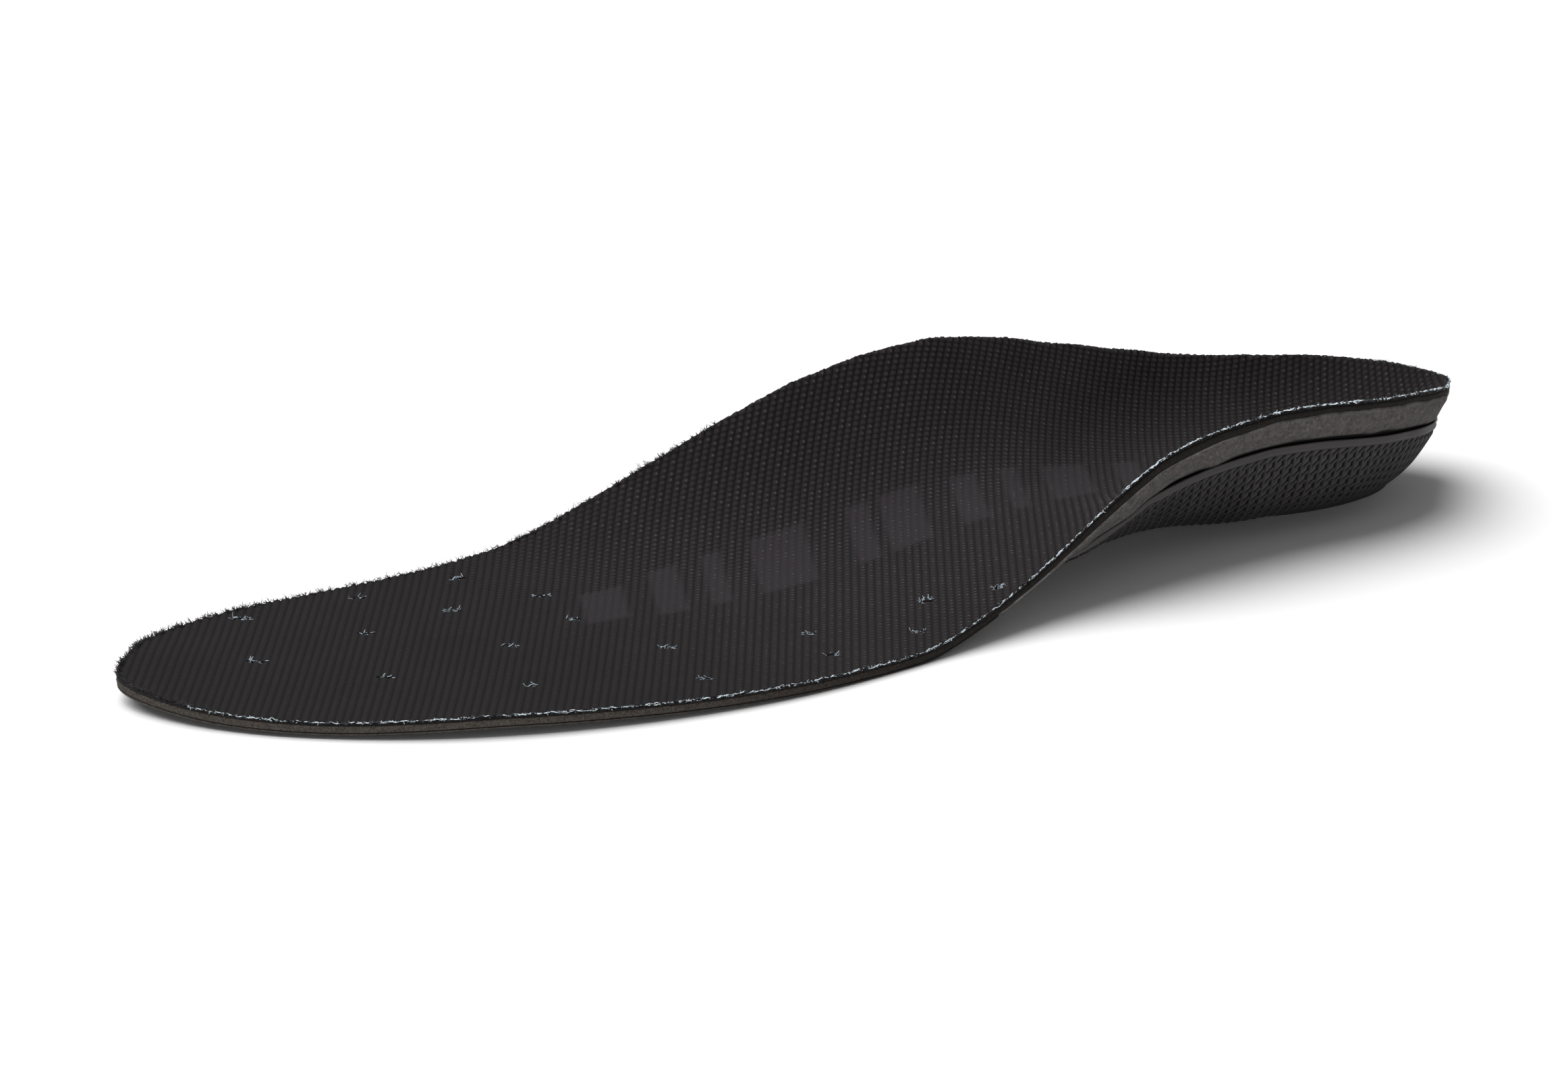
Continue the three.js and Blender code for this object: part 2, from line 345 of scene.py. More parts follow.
def wedge_front(margin):
    """The wedge's front edge as points from the inner to the outer side of the rim."""
    tree = tree_of("support_wedge")
    found = []
    for y in np.linspace(-60, 60, 241):
        if meets(tree, INSIDE_WEDGE, y):
            found.append((INSIDE_WEDGE + furthest(tree, (INSIDE_WEDGE, y), (1, 0)) + margin, y))
    found = np.array(found)
    y = np.linspace(found[0, 1], found[-1, 1], 90)
    x = np.interp(y, found[:, 1], found[:, 0])
    for _ in range(12):
        x[1:-1] = (x[:-2] + 2 * x[1:-1] + x[2:]) / 4
    return np.column_stack([x, y])


def ellipse_line(middle, half, count=160):
    turn = np.linspace(0, 2 * math.pi, count, endpoint=False)
    return np.column_stack([middle[0] + half[0] * np.cos(turn), middle[1] + half[1] * np.sin(turn)])


def halved(line, count):
    """A closed line from its foremost place, with as many even steps to its hindmost place as back."""
    line = np.roll(line, -int(np.argmax(line[:, 0])), axis=0)
    back = int(np.argmin(line[:, 0]))
    ring = np.vstack([line, line[:1]])
    halves = (ring[: back + 1], ring[back:])
    return np.vstack([evenly(half, count + 1, closed=False)[:-1] for half in halves])


def spine_for(line, low, high, y=0.0):
    """The middle line that the places of a halved line belong to, from low to high along the foot."""
    mates = np.roll(line[::-1], 1, axis=0)
    middle = (line[:, 0] + mates[:, 0]) / 2
    return np.column_stack([np.clip(middle, low, high), np.full(len(line), y)])


# ------ making meshes


def linked(name, data):
    made = bpy.data.objects.new(name, data)
    bpy.context.collection.objects.link(made)
    return made


def make_piece(name, points, faces, material, body=None):
    """A smooth-shaded mesh object from places in millimetres."""
    mesh = bpy.data.meshes.new(name)
    mesh.from_pydata((np.asarray(points) * MM).tolist(), [], faces)
    mesh.validate()
    mesh.polygons.foreach_set("use_smooth", [True] * len(mesh.polygons))
    mesh.update()
    made = linked(name, mesh)
    mesh.materials.append(material)
    if body:
        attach(made, body)
    return made


def give(piece, name, values, kind="FLOAT", field="value"):
    """Values at each corner of the piece's mesh, for its material: one number, a vector or a colour."""
    layer = piece.data.attributes.new(name, kind, "POINT")
    layer.data.foreach_set(field, np.asarray(values, float).ravel())


def welded(points, faces, step=1e-3):
    """The points with equal ones joined, and the faces without collapsed corners."""
    keys = np.round(np.asarray(points) / step).astype(np.int64)
    first, back = np.unique(keys, axis=0, return_index=True, return_inverse=True)[1:]
    back = back.ravel()
    kept = []
    for face in faces:
        ring = [int(back[k]) for k in face]
        ring = [k for n, k in enumerate(ring) if k != ring[n - 1]]
        if len(set(ring)) == len(ring) > 2:
            kept.append(ring)
    return np.asarray(points)[first], kept


def ring_faces(rings, count, flip=False):
    """Quads between rings of points that follow each other."""
    faces = []
    for ring in range(rings - 1):
        for k in range(count):
            n = (k + 1) % count
            a = ring * count + k
            b = ring * count + n
            quad = [a, b, b + count, a + count]
            faces.append(quad[::-1] if flip else quad)
    return faces


def outward(line):
    """Unit vectors of the plan that point out of a closed line which runs anticlockwise."""
    run = np.roll(line[:, :2], -1, axis=0) - np.roll(line[:, :2], 1, axis=0)
    return unit(np.column_stack([run[:, 1], -run[:, 0]]))


def skin(line, spine, shares, height):
    """Rings from the edge line (share 0) to the spine (share 1), at the height of a field."""
    rings = []
    for share in shares:
        plan = line[:, :2] + (spine - line[:, :2]) * share
        rings.append(np.column_stack([plan, height(plan[:, 0], plan[:, 1], share)]))
    return rings


def slab(line, spine, shares, high, low, side):
    """A closed layer: rings over its top from the spine out, down its side, and back in under it."""
    up = skin(line, spine, shares, high)[::-1]
    down = skin(line, spine, shares, low)
    rings = up + side(up[-1], down[0]) + down
    faces = ring_faces(len(rings), len(line), flip=True)
    return welded(np.vstack(rings), faces)


def plain_side(rows, bulge, wobble=0.0):
    """The side wall between two edge rings, bulging out by some millimetres."""

    def build(high, low):
        out = outward(high)
        rings = []
        for row in range(1, rows):
            t = row / rows
            ring = high + (low - high) * t
            push = bulge * math.sin(math.pi * t) + wobble * (rng.random(len(ring)) - 0.5)
            rings.append(ring + np.column_stack([out * np.reshape(push, (-1, 1)), np.zeros(len(ring))]))
        return rings

    return build


EDGE_SHARES = [0, 0.012, 0.03, 0.06, 0.1, 0.15, 0.21, 0.28, 0.36, 0.45, 0.55, 0.65, 0.75, 0.87, 1]


# ------ materials


class Nodes:
    """A small helper that adds shader nodes and links them."""

    def __init__(self, name):
        self.material = bpy.data.materials.new(name)
        self.material.use_nodes = True
        self.tree = self.material.node_tree
        self.shader = self.tree.nodes["Principled BSDF"]

    def add(self, kind, links=None, **settings):
        node = self.tree.nodes.new(kind)
        for key, value in settings.items():
            setattr(node, key, value)
        for key, value in (links or {}).items():
            self.put(node.inputs[key], value)
        return node

    def put(self, socket, value):
        """A link from another socket, or a fixed value; a colour may come without its opacity."""
        if isinstance(value, bpy.types.NodeSocket):
            self.tree.links.new(value, socket)
        elif socket.type == "RGBA":
            socket.default_value = (*value[:3], 1.0)
        else:
            socket.default_value = value

    def given(self, name):
        """A number that the mesh carries at its corners."""
        return self.add("ShaderNodeAttribute", attribute_name=name).outputs["Fac"]

    def maths(self, operation, *values):
        node = self.add("ShaderNodeMath", operation=operation)
        for socket, value in zip(node.inputs, values):
            self.put(socket, value)
        return node.outputs[0]

    def noise(self, scale, detail=2.0, roughness=0.5, at=None, stretch=None):
        vector = at or self.add("ShaderNodeTexCoord").outputs["Object"]
        if stretch:
            mapping = self.add("ShaderNodeMapping", {"Vector": vector, "Scale": stretch})
            vector = mapping.outputs["Vector"]
        links = {"Vector": vector, "Scale": scale, "Detail": detail, "Roughness": roughness}
        return self.add("ShaderNodeTexNoise", links).outputs["Fac"]

    def spread(self, value, low, high, out_low=0.0, out_high=1.0):
        links = {"Value": value, "From Min": low, "From Max": high, "To Min": out_low, "To Max": out_high}
        return self.add("ShaderNodeMapRange", links).outputs["Result"]

    def mix(self, share, first, second):
        node = self.add("ShaderNodeMix", data_type="RGBA")
        self.put(node.inputs[0], share)
        self.put(node.inputs[6], first)
        self.put(node.inputs[7], second)
        return node.outputs[2]

    def tint(self, value, low, high, first, second, most=1.0):
        """From the first colour where the value is low towards the second where it is high."""
        return self.mix(self.spread(value, low, high, 0.0, most), first, second)

    def bump(self, height, distance, strength=1.0, before=None):
        links = {"Height": height, "Distance": distance, "Strength": strength}
        if before:
            links["Normal"] = before
        return self.add("ShaderNodeBump", links).outputs["Normal"]

    def finish(self, colour, roughness, normal=None, gloss=0.3, sheen=0.0, sheen_roughness=0.5):
        self.put(self.shader.inputs["Base Color"], colour)
        self.put(self.shader.inputs["Roughness"], roughness)
        self.put(self.shader.inputs["Specular IOR Level"], gloss)
        self.put(self.shader.inputs["Sheen Weight"], sheen)
        self.put(self.shader.inputs["Sheen Roughness"], sheen_roughness)
        if normal:
            self.put(self.shader.inputs["Normal"], normal)
        return self.material


def stitch_shader(n):
    """Per stitch of the knit: a random number, a round painted highlight near its middle, and the gap below
    it.
    """
    weave = n.add("ShaderNodeAttribute", attribute_name="weave").outputs["Vector"]
    parts = n.add("ShaderNodeSeparateXYZ", {"Vector": weave})
    ribs = n.maths("DIVIDE", parts.outputs[0], RIB_PITCH)
    rib = n.maths("ROUND", ribs)
    beside = n.maths("SUBTRACT", ribs, rib)
    half = n.maths("MULTIPLY", n.maths("PINGPONG", rib, 1.0), 0.5)
    rows = n.maths("ADD", n.maths("DIVIDE", parts.outputs[1], ROW_PITCH), half)
    row = n.maths("ROUND", rows)
    below = n.maths("SUBTRACT", rows, row)
    cell = n.add("ShaderNodeCombineXYZ", {0: rib, 1: row})
    chance = n.add("ShaderNodeTexWhiteNoise", {"Vector": cell.outputs[0]}, noise_dimensions="2D")
    wide = n.maths("POWER", n.maths("DIVIDE", n.maths("SUBTRACT", beside, 0.1), 0.16), 2.0)
    tall = n.maths("POWER", n.maths("DIVIDE", below, 0.24), 2.0)
    # A painted highlight: a round light dot near the middle of each stitch.
    painted_glint = n.spread(n.maths("ADD", wide, tall), 1.0, 0.2)
    # The slanted gap between stitches, which gets painted shade.
    slanted = n.maths("ABSOLUTE", n.maths("ADD", below, n.maths("MULTIPLY", beside, 0.5)))
    gap = n.spread(slanted, 0.28, 0.5)
    return chance.outputs["Value"], painted_glint, gap


def knit_material():
    """Ribbed polyester knit: dark yarn with painted shade between ribs and stitches, a painted highlight dot
    on each stitch, and a faded grey print.
    """
    n = Nodes("knit")
    looks = n.add("ShaderNodeAttribute", attribute_name="knit_looks")
    parts = n.add("ShaderNodeSeparateColor", {"Color": looks.outputs["Color"]})
    relief, printed, glint_share = parts.outputs[0], parts.outputs[1], parts.outputs[2]
    weave = n.add("ShaderNodeAttribute", attribute_name="weave").outputs["Vector"]
    chance, painted_glint, gap = stitch_shader(n)
    fibre = n.noise(5.0, 3.0, 0.7, at=weave, stretch=(1.0, 3.0, 1.0))
    cloudy = n.noise(60.0, 3.0, 0.6)
    # Painted shade: the yarn is darker in the grooves between the ribs and lighter on their tops.
    yarn = n.mix(relief, (0.0036, 0.0029, 0.0031), (0.016, 0.013, 0.0139))
    lively = n.spread(fibre, 0.3, 0.75, 0.6, 1.4)
    shade = n.maths("MULTIPLY", lively, n.spread(cloudy, 0.3, 0.7, 0.88, 1.12))
    # Painted shade: the yarn darkens in the gaps between stitches and lightens a little on the stitches.
    shade = n.maths("MULTIPLY", shade, n.spread(gap, 0.0, 1.0, 1.15, 0.5))
    # Painted light: the yarn gets up to half as light again where the painted highlight dots show.
    shade = n.maths("MULTIPLY", shade, n.spread(glint_share, 0.15, 1.0, 1.0, 1.5))
    yarn = n.add("ShaderNodeVectorMath", {0: yarn, 1: shade}, operation="MULTIPLY").outputs[0]
    worn = n.maths("MULTIPLY", printed, n.spread(fibre, 0.3, 0.7, 0.5, 0.95))
    yarn = n.mix(worn, yarn, (0.027, 0.0222, 0.0262))
    # The painted highlight dots, brighter on some stitches at random.
    shine = n.maths("MULTIPLY", painted_glint, n.maths("POWER", chance, 2.5))
    shine = n.maths("MULTIPLY", shine, glint_share)
    colour = n.mix(shine, yarn, (0.07, 0.066, 0.074))
    fuzz = n.bump(n.noise(9.0, 3.0, 0.7, at=weave), 0.00012, 0.6)
    return n.finish(colour, 0.85, fuzz, gloss=0.12, sheen=0.06, sheen_roughness=0.4)


def foam_material():
    """Open-cell foam: a cut edge with upright knife marks, near black behind and browner at the toe by
    painted light.
    """
    n = Nodes("comfort_foam")
    cells = n.noise(2600.0, 2.0, 0.6)
    marks = n.noise(900.0, 2.0, 0.5, stretch=(1.0, 1.0, 0.06))
    dust_and_light = n.given("dust_and_light")
    dark = n.tint(cells, 0.35, 0.7, (0.006, 0.005, 0.0044), (0.016, 0.0132, 0.0118))
    pale = n.tint(cells, 0.35, 0.7, (0.03, 0.0258, 0.0222), (0.08, 0.069, 0.06))
    # Painted light: the cut edge is paler towards the toe.
    colour = n.mix(dust_and_light, dark, pale)
    normal = n.bump(marks, 0.0002, 0.5)
    normal = n.bump(cells, 0.00012, 0.6, before=normal)
    return n.finish(colour, 0.9, normal, gloss=0.15)


def film_material():
    """The backing film: brown-black with faint creases, with painted light along its cut edge."""
    n = Nodes("backing_film")
    crease = n.noise(120.0, 4.0, 0.6)
    dust_and_light = n.given("dust_and_light")
    plain = n.tint(crease, 0.3, 0.7, (0.008, 0.0074, 0.0074), (0.015, 0.0138, 0.0138))
    edge_light = n.tint(n.noise(2200.0, 2.0, 0.6), 0.4, 0.7, (0.022, 0.019, 0.0165), (0.06, 0.052, 0.0455))
    # Painted light: paler along the cut edge, more so towards the toe.
    colour = n.mix(dust_and_light, plain, edge_light)
    return n.finish(colour, n.spread(crease, 0.3, 0.7, 0.5, 0.65), n.bump(crease, 0.0002, 0.4), gloss=0.3)


def wedge_material():
    """Ground EVA foam: speckled grey with a brown tint, grinding marks and a painted highlight along the top
    edge.
    """
    n = Nodes("support_wedge")
    speckle = n.noise(1900.0, 2.0, 0.65)
    grain = n.noise(700.0, 3.0, 0.6)
    ground = n.noise(420.0, 3.0, 0.6, stretch=(0.12, 0.12, 1.0))
    edge = n.given("edge_highlight")
    colour = n.tint(grain, 0.35, 0.65, (0.052, 0.0465, 0.0465), (0.08, 0.072, 0.071))
    colour = n.tint(speckle, 0.56, 0.72, colour, (0.16, 0.15, 0.142), 0.55)
    colour = n.tint(speckle, 0.44, 0.3, colour, (0.024, 0.021, 0.021), 0.6)
    colour = n.tint(ground, 0.58, 0.75, colour, (0.026, 0.023, 0.022), 0.35)
    # A painted highlight along the top edge, broken by nicks.
    nicked_highlight = n.maths("MULTIPLY", edge, n.spread(n.noise(260.0, 3.0, 0.6), 0.4, 0.6, 0.2, 0.9))
    colour = n.mix(nicked_highlight, colour, (0.2, 0.19, 0.185))
    seam = n.given("seam")
    colour = n.mix(seam, colour, (0.003, 0.0027, 0.0027))
    normal = n.bump(speckle, 0.0002, 0.5)
    normal = n.bump(ground, 0.0002, 0.35, before=normal)
    return n.finish(colour, 0.92, normal, gloss=0.12)


def shell_material():
    """Moulded shell: satin dark plastic with fine grit in its skin, and painted shade on the net's flanks
    and under the lip's bead.
    """
    n = Nodes("cup_shell")
    grit = n.noise(2400.0, 2.0, 0.6)
    dust_and_light = n.noise(160.0, 4.0, 0.65)
    net = n.given("painted_shade")
    colour = n.tint(dust_and_light, 0.3, 0.75, (0.029, 0.0262, 0.027), (0.043, 0.039, 0.0402))
    # Painted shade: dark on the flanks of the net and in a line below the lip's bead.
    colour = n.mix(net, colour, (0.0024, 0.0021, 0.0022))
    normal = n.bump(grit, 0.00008, 0.5)
    return n.finish(colour, n.spread(dust_and_light, 0.3, 0.7, 0.48, 0.66), normal, gloss=0.3)


def ring_material():
    n = Nodes("heel_base_ring")
    grit = n.noise(1800.0, 2.0, 0.6)
    scuff = n.noise(70.0, 4.0, 0.7)
    colour = n.tint(scuff, 0.35, 0.75, (0.012, 0.0108, 0.0112), (0.023, 0.021, 0.0215))
    return n.finish(colour, n.spread(scuff, 0.3, 0.7, 0.5, 0.7), n.bump(grit, 0.00008, 0.4), gloss=0.3)


def pad_material():
    """Burnt-red crash pad, a soft rubber with a slightly grainy skin."""
    n = Nodes("heel_crash_pad")
    grain = n.noise(1500.0, 2.0, 0.6)
    patch = n.noise(90.0, 3.0, 0.6)
    colour = n.tint(patch, 0.3, 0.7, (0.4, 0.055, 0.018), (0.5, 0.085, 0.026))
    colour = n.tint(grain, 0.6, 0.8, colour, (0.6, 0.16, 0.06), 0.4)
    return n.finish(colour, 0.62, n.bump(grain, 0.0001, 0.5), gloss=0.3)


def fibre_material(name, light, dark, low, high):
    """Cut yarn ends: bright with darker stretches."""
    n = Nodes(name)
    colour = n.tint(n.noise(900.0, 2.0, 0.6), low, high, dark, light)
    return n.finish(colour, 0.7, gloss=0.2, sheen=0.1)


def floor_material():
    n = Nodes("floor")
    faint = n.noise(3.0, 2.0, 0.5)
    colour = n.tint(faint, 0.3, 0.7, (0.93, 0.93, 0.93), (0.95, 0.95, 0.95))
    return n.finish(colour, 0.9, gloss=0.0)


# ------ the knitted cover

# Places of the needle slits in the plan.
SLITS = [
    (105, -38.5), (81, -39), (61, -37.5), (89.5, -20), (70.5, -23), (53, -20.5), (113.5, -16),
    (54.5, -6.5), (71.5, 0), (98, 3), (79.5, 21.5), (48.5, 16.5), (52.5, 34.5), (24, 24), (26.5, 36),
    (-0.5, 25.5), (8, 35), (-11, 33),
]
SLIT_HALF = (1.5, 0.36)

# Mesh corners of the cut edge this near to the rim move onto it, and the underside's hem is this wide.
RIM_REACH = 1.6
HEM = 2.0


def between(table, row, column):
    """The table's values at rows and columns that need not be whole."""
    i = np.clip(np.floor(row).astype(int), 0, table.shape[0] - 2)
    j = np.clip(np.floor(column).astype(int), 0, table.shape[1] - 2)
    deeper = (...,) + (None,) * (table.ndim - 2)
    f, g = (row - i)[deeper], (column - j)[deeper]
    low = table[i, j] * (1 - g) + table[i, j + 1] * g
    high = table[i + 1, j] * (1 - g) + table[i + 1, j + 1] * g
    return low * (1 - f) + high * f


class Cloth:
    """Flat cloth places for the plan: lengths along the surface from the middle, and the way back."""

    step = 0.5

    def __init__(self):
        self.xs = np.arange(low_x - 6, high_x + 6, 1.0)
        self.ys = np.arange(-56, 56.5, 1.0)
        heights = top(self.xs[:, None], self.ys[None, :])
        middle = int(np.argmin(np.abs(self.ys)))
        slope_y = np.gradient(heights, self.ys, axis=1)
        slope_x = np.gradient(heights[:, middle], self.xs)
        self.across = self.run(np.hypot(1, slope_y))
        self.across -= self.across[:, [middle]]
        self.length = self.run(np.hypot(1, slope_x)[None, :])[0]
        self.length -= np.interp(0, self.xs, self.length)
        self.steps = np.arange(-90, 90.5, self.step)
        self.back = np.array([np.interp(self.steps, row, self.ys) for row in self.across])

    @staticmethod
    def run(speed):
        """The running length along each row, whose places are a millimetre apart in the plan."""
        pieces = (speed[:, 1:] + speed[:, :-1]) / 2
        return np.hstack([np.zeros((len(speed), 1)), np.cumsum(pieces, axis=1)])

    def plan(self, length, across):
        """The place in the plan of a flat cloth place."""
        row = np.interp(length, self.length, np.arange(len(self.xs)))
        x = np.interp(length, self.length, self.xs)
        return x, between(self.back, row, (across - self.steps[0]) / self.step)

    def flat(self, x, y):
        """The flat cloth place of a place in the plan."""
        row = np.interp(x, self.xs, np.arange(len(self.xs)))
        return np.interp(x, self.xs, self.length), between(self.across, row, y - self.ys[0])


cloth = Cloth()
rib_way = np.array([math.cos(RIB_ANGLE), math.sin(RIB_ANGLE)])
row_way = np.array([-math.sin(RIB_ANGLE), math.cos(RIB_ANGLE)])


def weave_place(x, y):
    """How far across the ribs and along the ribs a place of the plan lies."""
    length, across = cloth.flat(x, y)
    return length * row_way[0] + across * row_way[1], length * rib_way[0] + across * rib_way[1]


def stitch_relief(u, v):
    """The height of the knit from 0 to 1: round ribs, each a stack of stitches set off by half."""
    rib = np.floor(u / RIB_PITCH + 0.5)
    round_rib = np.abs(np.cos(np.pi * u / RIB_PITCH)) ** 0.8
    stitch = 0.5 + 0.5 * np.cos(2 * np.pi * (v / ROW_PITCH + 0.5 * (rib % 2)))
    return round_rib * (0.55 + 0.45 * stitch)


# The faded print: bars that lean over, each with its middle, half width and half height on the plan.
PRINT_BARS = [
    (46, 4.5, 7.5), (33, 3.2, 9.5), (23, 2.2, 9.5), (9, 6, 9.5), (-8, 2.5, 9), (-17, 4.5, 9),
    (-31, 3, 8.5), (-41, 2, 8.5), (-53, 5, 8), (-67, 3, 7.5),
]
PRINT_LEAN = 0.45
PRINT_SIDE = -7.0
PRINT_DRIFT = 0.06


def print_mask(x, y):
    """Where the faded bars of the print lie, from 0 to 1 and soft at their edges."""
    mask = np.zeros_like(x)
    up = y - PRINT_SIDE + PRINT_DRIFT * x
    for middle, half, tall in PRINT_BARS:
        beside = half - np.abs(x - middle - PRINT_LEAN * up)
        over = tall - np.abs(up)
        mask = np.maximum(mask, smooth_step(-0.6, 0.9, np.minimum(beside, over)))
    return mask


def in_slit(u, v):
    """Whether a place of the weave lies in one of the needle slits."""
    found = np.zeros(np.shape(u), bool)
    for x, y in SLITS:
        u0, v0 = weave_place(np.array(float(x)), np.array(float(y)))
        found |= ((u - u0) / SLIT_HALF[0]) ** 2 + ((v - v0) / SLIT_HALF[1]) ** 2 < 1
    return found


def cover_grid():
    """The knit's grid in the plan, and which of its cells lie inside the rim."""
    u = np.arange(-430, 431) * RIB_PITCH / RIB_STEPS
    v = np.arange(-245, 246) * ROW_PITCH / ROW_STEPS
    u, v = np.meshgrid(u, v, indexing="ij")
    length = u * row_way[0] + v * rib_way[0]
    across = u * row_way[1] + v * rib_way[1]
    x, y = cloth.plan(length, across)
    cells = [(a[:-1, :-1] + a[1:, :-1] + a[:-1, 1:] + a[1:, 1:]) / 4 for a in (x, y, u, v)]
    kept = inside_rim(cells[0], cells[1]) & (np.abs(across[:-1, :-1]) < 80)
    kept &= ~in_slit(cells[2], cells[3])
    return u, v, x, y, kept


def edge_pairs(full, index):
    """The directed edges of kept cells whose neighbour isn't kept, kept cell on the left."""
    pairs = []
    rows, columns = np.nonzero(full[1:-1, 1:-1])
    for shift, first, second in (
        ((-1, 0), (0, 1), (0, 0)),
        ((1, 0), (1, 0), (1, 1)),
        ((0, -1), (0, 0), (1, 0)),
        ((0, 1), (1, 1), (0, 1)),
    ):
        free = ~full[rows + 1 + shift[0], columns + 1 + shift[1]]
        a = index[rows[free] + first[0], columns[free] + first[1]]
        b = index[rows[free] + second[0], columns[free] + second[1]]
        pairs.append(np.column_stack([a, b]))
    return np.vstack(pairs)


def nearest_rim(x, y):
    """The nearest place of the rim to each of these places, the way out of it, and the distance."""
    line = rim(np.arange(STATIONS * 40) / 40)
    nearest, distance = [], []
    for part in np.array_split(np.arange(len(x)), 8):
        gap = np.hypot(x[part, None] - line[None, :, 0], y[part, None] - line[None, :, 1])
        nearest.append(gap.argmin(axis=1))
        distance.append(gap.min(axis=1))
    nearest = np.concatenate(nearest)
    return line[nearest, :2], outward(line)[nearest], np.concatenate(distance)


def cover_walls(points, edges, border, at_rim, out):
    """All places and faces of the cover's cut edges: down through the cloth, and a hem at the rim."""
    low = points[border]
    low[:, 2] = top(low[:, 0], low[:, 1]) - COVER
    under = low.copy()
    under[at_rim, :2] -= HEM * out[at_rim]
    under[:, 2] = top(under[:, 0], under[:, 1]) - COVER
    place_of = np.full(len(points), -1)
    place_of[border] = np.arange(len(border))
    below = place_of[edges]
    walls = np.column_stack([edges, len(points) + below[:, ::-1]])
    hem = len(points) + below[at_rim[below].all(axis=1)]
    hem = np.column_stack([hem, hem[:, ::-1] + len(border)])
    return np.vstack([points, low, under]), np.vstack([walls, hem])


def top_cover():
    """The knit as stitches of real height, cut at the rim and at the needle slits."""
    u, v, x, y, kept = cover_grid()
    full = np.pad(kept, 1)
    node = full[:-1, :-1] | full[1:, :-1] | full[:-1, 1:] | full[1:, 1:]
    index = np.full(u.shape, -1)
    index[node] = np.arange(node.sum())
    u, v, x, y = u[node], v[node], x[node], y[node]
    edges = edge_pairs(full, index)
    border = np.unique(edges)
    rim_place, out, away = nearest_rim(x[border], y[border])
    at_rim = away < RIM_REACH
    ragged = 0.14 * (rng.random((at_rim.sum(), 1)) - 0.3)
    x[border[at_rim]], y[border[at_rim]] = (rim_place[at_rim] + out[at_rim] * ragged).T

    relief = stitch_relief(u, v)
    points = np.column_stack([x, y, top(x, y)])
    raised = RIB_HEIGHT * (relief - 0.6) + 0.03 * (rng.random(len(x)) - 0.5)
    points += top.normal(x, y) * raised[:, None]
    i, j = np.nonzero(kept)
    quads = np.column_stack([index[i, j], index[i, j + 1], index[i + 1, j + 1], index[i + 1, j]])
    places, walls = cover_walls(points, edges, border, at_rim, out)
    faces = np.vstack([quads, walls])
    used, number = np.unique(faces, return_inverse=True)
    made = make_piece("top_cover", places[used], number.reshape(faces.shape).tolist(), knit_material())

    looks = np.zeros((len(places), 4))
    # Colour channels: the relief, the print, and the share of the painted highlight dots.
    looks[: len(x), :3] = np.column_stack([relief, print_mask(x, y), painted_glint_share(x)])
    looks[:, 3] = 1.0
    weave = places.copy()
    weave[: len(x)] = np.column_stack([u, v, np.zeros(len(x))])
    give(made, "knit_looks", looks[used], "FLOAT_COLOR", "color")
    give(made, "weave", weave[used], "FLOAT_VECTOR", "vector")
    return made


def painted_glint_share(x):
    """The painted highlight dots of the stitches show in the arch and the heel, and faintly in the forefoot.
    """
    return 1.0 - 0.85 * smooth_step(5, 75, x)


# ------ foam and film


def toe_lightness(points):
    """Painted light: the cut edge gets paler and browner towards the toe."""
    return smooth_step(-15, 95, points[:, 0])


def under_foam(x, y, share=None):
    """The upper side of what is glued under the foam."""
    return foam_low(x, y) - GLUE_GAP


def comfort_foam():
    def high(x, y, share):
        return top(x, y) - COVER - GLUE_GAP

    def low(x, y, share):
        return foam_low(x, y)

    points, faces = slab(rim_line, spine_line, EDGE_SHARES, high, low, plain_side(6, 0.12, 0.1))
    made = make_piece("comfort_foam", points, faces, foam_material())
    # Painted light on the cut edge, growing towards the toe.
    give(made, "dust_and_light", toe_lightness(points))
    return made


def cut_line(ahead, margin):
    """The closed edge of the part of the insole ahead of, or behind, the wedge's front edge."""
    front = wedge_front(margin)
    line = rim(np.linspace(0, STATIONS, 1200, endpoint=False))
    limit = np.interp(line[:, 1], front[:, 1], front[:, 0])
    here = line[:, 0] > limit if ahead else line[:, 0] < limit
    start = int(np.nonzero(here & ~np.roll(here, 1))[0][0])
    ring = np.roll(line, -start, axis=0)[: int(here.sum()), :2]
    low_y, high_y = sorted((ring[0, 1], ring[-1, 1]))
    across = front[(front[:, 1] > low_y + 0.4) & (front[:, 1] < high_y - 0.4)]
    if ring[-1, 1] > ring[0, 1]:
        across = across[::-1]
    return halved(softened(evenly(np.vstack([ring, across]), 900), 2), 280)


def forefoot_film():
    line = cut_line(True, 0.3)
    spine = spine_for(line, 45.0, high_x - TOE_ROUND, -2.0)

    def low(x, y, share):
        return np.maximum(under_foam(x, y) - FILM, 0.03)

    points, faces = slab(line, spine, EDGE_SHARES, under_foam, low, plain_side(3, 0.08, 0.03))
    made = make_piece("forefoot_film", points, faces, film_material())
    away = np.linalg.norm(points[:, None, :2] - rim_line[None, :, :2], axis=2).min(axis=1)
    # Painted light along the film's cut edge, growing towards the toe.
    give(made, "dust_and_light", toe_lightness(points) * (away < 0.9))
    return made


# ------ wedge, shell and base

# Rays from this place of the plan find the shell's edge, one for each degree.
SHELL_MIDDLE = (-77.0, -1.7)
SHELL_TURNS = 360

# How deep inside the shell's edge the wedge's pocket for the shell starts, and where it is full.
POCKET = (0.2, 1.6)
POCKET_GAP = 0.3
THINNEST = 0.3


def shell_edge():
    """The shell's edge in the plan: its lip around the heel and its front edge under the arch."""
    tree = tree_of("cup_shell", "heel_crash_pad", "heel_base_ring")
    ways = ellipse_line((0, 0), (1, 1), SHELL_TURNS)
    found = [SHELL_MIDDLE + furthest(tree, SHELL_MIDDLE, way) * way for way in ways]
    return halved(level(softened(evenly(np.array(found), 900), 12)), 360)


